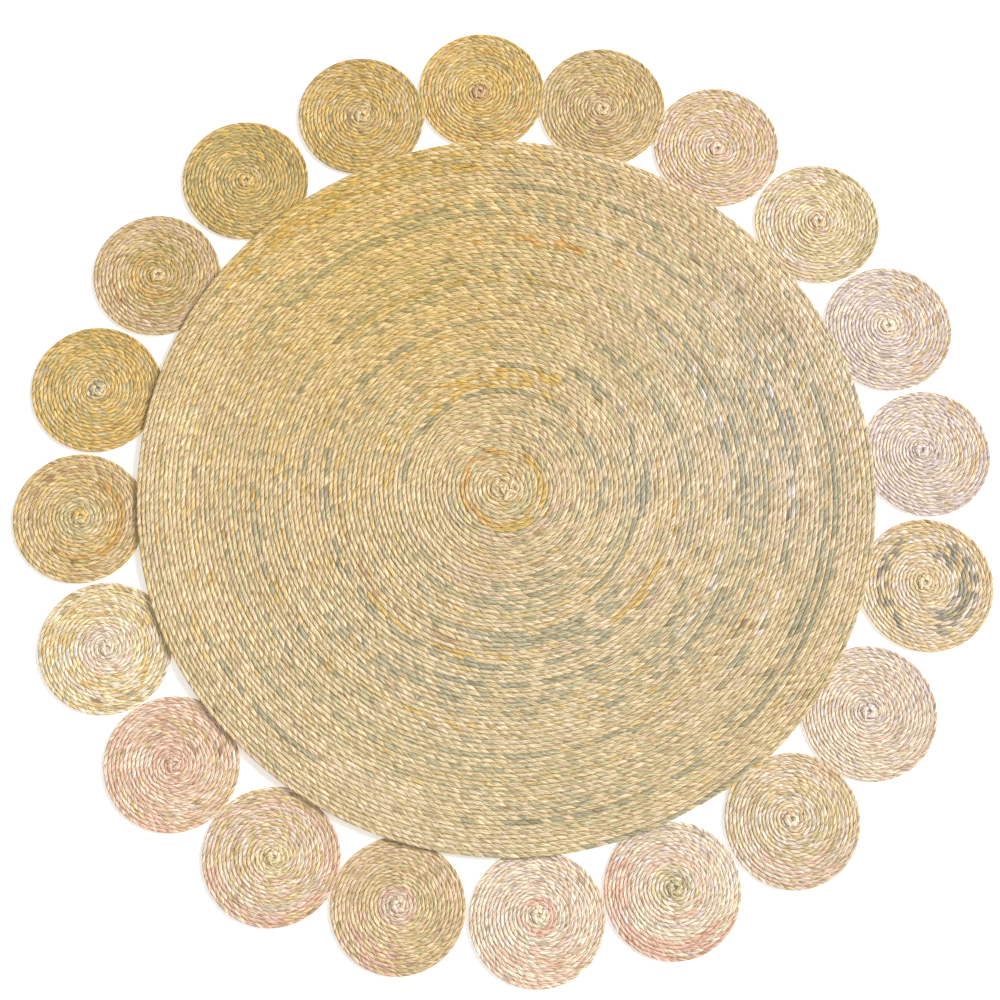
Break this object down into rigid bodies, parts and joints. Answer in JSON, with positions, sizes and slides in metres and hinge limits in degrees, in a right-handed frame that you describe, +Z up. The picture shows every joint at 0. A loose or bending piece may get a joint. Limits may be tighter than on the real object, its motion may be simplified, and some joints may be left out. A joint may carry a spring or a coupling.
{
  "type": "round palm leaf floor mat",
  "caption": "Round floor mat of coiled palm-leaf cord: a wide flat centre coil with a ring of small coils sewn on round its rim.",
  "frame": {"origin": "on the floor, under the middle of the centre coil", "axes": "+Z up out of the face of the mat; +Y towards the small coil at the top of the picture, about 3 degrees to the right of it; +X to the right"},
  "size_m": [1.4922, 1.4982, 0.0131],
  "materials": {
    "centre_cord": "dry palm leaf, matt with a light sheen on the leaf",
    "rim_cord": "dry palm leaf, matt with a light sheen on the leaf"
  },
  "bodies": {
    "root": {"centre_coil": "centre_cord", "rim_coil_01": "rim_cord", "rim_coil_02": "rim_cord", "rim_coil_03": "rim_cord", "rim_coil_04": "rim_cord", "rim_coil_05": "rim_cord", "rim_coil_06": "rim_cord", "rim_coil_07": "rim_cord", "rim_coil_08": "rim_cord", "rim_coil_09": "rim_cord", "rim_coil_10": "rim_cord", "rim_coil_11": "rim_cord", "rim_coil_12": "rim_cord", "rim_coil_13": "rim_cord", "rim_coil_14": "rim_cord", "rim_coil_15": "rim_cord", "rim_coil_16": "rim_cord", "rim_coil_17": "rim_cord", "rim_coil_18": "rim_cord", "rim_coil_19": "rim_cord", "rim_coil_20": "rim_cord"}
  },
  "joints": []
}
